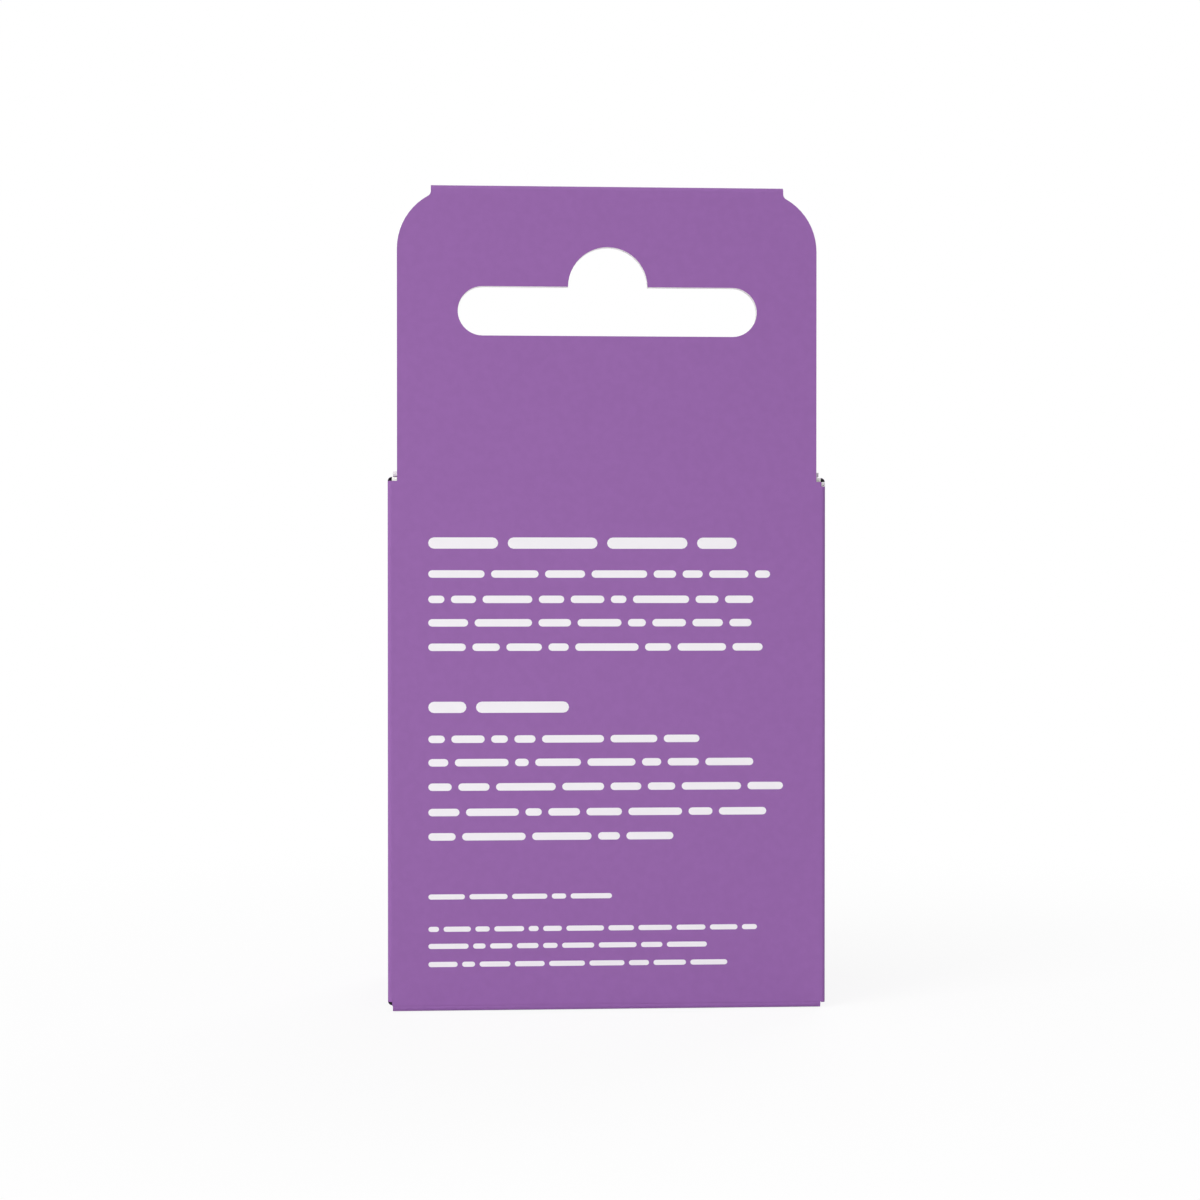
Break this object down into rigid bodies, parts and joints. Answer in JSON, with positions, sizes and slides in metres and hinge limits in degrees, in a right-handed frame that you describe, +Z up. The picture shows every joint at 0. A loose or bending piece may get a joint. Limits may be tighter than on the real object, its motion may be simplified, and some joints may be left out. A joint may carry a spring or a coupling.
{
  "type": "dental floss dispenser in a hang-tab carton",
  "caption": "Purple hang-tab paperboard carton with tuck ends, holding a refillable glass floss dispenser with a screw cap and cutter, and a pouch with a spare floss refill.",
  "frame": {"origin": "centre of the carton's base, on the surface that it stands on", "axes": "+Z up towards the hang tab, -Y out of the front panel, +Y out of the back panel and the hang tab, +X to the right when looking at the front panel"},
  "size_m": [0.047, 0.025, 0.088],
  "materials": {
    "printed_board": "printed paperboard with a satin varnish",
    "dried_glue": "thin dried film",
    "clear_glass": "clear",
    "cap_metal": "spun satin",
    "liner_foam": "matte",
    "eyelet_plastic": "smooth",
    "cutter_steel": "brushed",
    "floss_thread": "waxed thread",
    "core_paper": "kraft paper tube",
    "pouch_film": "translucent film"
  },
  "bodies": {
    "carton": {"back_panel": "printed_board", "hang_tab_front_ply": "printed_board", "hang_tab_glue": "dried_glue", "side_panel_right": "printed_board", "side_panel_left": "printed_board", "front_panel": "printed_board", "glue_flap": "printed_board", "seam_glue": "dried_glue", "glass_vial": "clear_glass", "floss_strand": "floss_thread", "inner_pouch": "pouch_film", "refill_core": "core_paper", "refill_floss": "floss_thread"},
    "lid": {"lid_panel": "printed_board"},
    "lid_tuck": {"lid_tuck_flap": "printed_board"},
    "lid_dust_right": {"lid_dust_flap_right": "printed_board"},
    "lid_dust_left": {"lid_dust_flap_left": "printed_board"},
    "bottom": {"bottom_panel": "printed_board"},
    "bottom_tuck": {"bottom_tuck_flap": "printed_board"},
    "bottom_dust_right": {"bottom_dust_flap_right": "printed_board"},
    "bottom_dust_left": {"bottom_dust_flap_left": "printed_board"},
    "liner": {"cap_liner": "liner_foam"},
    "cap": {"screw_cap": "cap_metal", "exit_eyelet": "eyelet_plastic", "cutter_blade": "cutter_steel", "floss_tail": "floss_thread"},
    "spool": {"spool_core": "core_paper", "floss_spool": "floss_thread"}
  },
  "joints": [
    {"name": "lid_hinge", "type": "hinge", "parent": "carton", "child": "lid", "pos_m": [0, 0.01155, 0.05755], "axis": [-1, 0, 0], "range_deg": [0, 88]},
    {"name": "lid_tuck_hinge", "type": "hinge", "parent": "lid", "child": "lid_tuck", "pos_m": [0, -0.0112, 0.0571], "axis": [-1, 0, 0], "range_deg": [-62, 0]},
    {"name": "lid_dust_right_hinge", "type": "hinge", "parent": "carton", "child": "lid_dust_right", "pos_m": [0.023, 0, 0.0565], "axis": [0, 1, 0], "range_deg": [0, 88]},
    {"name": "lid_dust_left_hinge", "type": "hinge", "parent": "carton", "child": "lid_dust_left", "pos_m": [-0.023, 0, 0.0565], "axis": [0, -1, 0], "range_deg": [0, 88]},
    {"name": "bottom_hinge", "type": "hinge", "parent": "carton", "child": "bottom", "pos_m": [0, 0.01205, 0.00045], "axis": [1, 0, 0], "range_deg": [0, 110]},
    {"name": "bottom_tuck_hinge", "type": "hinge", "parent": "bottom", "child": "bottom_tuck", "pos_m": [0, -0.0112, 0.00045], "axis": [1, 0, 0], "range_deg": [-77.4, 0]},
    {"name": "bottom_dust_right_hinge", "type": "hinge", "parent": "carton", "child": "bottom_dust_right", "pos_m": [0.023, 0, 0.00105], "axis": [0, -1, 0], "range_deg": [0, 110]},
    {"name": "bottom_dust_left_hinge", "type": "hinge", "parent": "carton", "child": "bottom_dust_left", "pos_m": [-0.023, 0, 0.00105], "axis": [0, 1, 0], "range_deg": [0, 110]},
    {"name": "cap_lift", "type": "slide", "parent": "carton", "child": "liner", "axis": [0, 0, 1], "range_m": [0, 0.005], "deforming": ["floss_strand"]},
    {"name": "cap_twist", "type": "hinge", "parent": "liner", "child": "cap", "pos_m": [-0.011, 0.00042, 0.03767], "axis": [0, 0, 1], "range_deg": [0, 723]},
    {"name": "spool_spin", "type": "hinge", "parent": "carton", "child": "spool", "pos_m": [-0.011, 0.00042, 0.00347], "axis": [0, 0, 1], "continuous": true}
  ],
  "couplings": [
    {"joint": "lid_tuck_hinge", "follows": "lid_hinge", "ratio": -0.7},
    {"joint": "lid_dust_right_hinge", "follows": "lid_hinge", "ratio": 1},
    {"joint": "lid_dust_left_hinge", "follows": "lid_hinge", "ratio": 1},
    {"joint": "bottom_tuck_hinge", "follows": "bottom_hinge", "ratio": -0.7},
    {"joint": "bottom_dust_right_hinge", "follows": "bottom_hinge", "ratio": 1},
    {"joint": "bottom_dust_left_hinge", "follows": "bottom_hinge", "ratio": 1},
    {"joint": "cap_twist", "follows": "cap_lift", "rad_per_m": 2513.3}
  ]
}
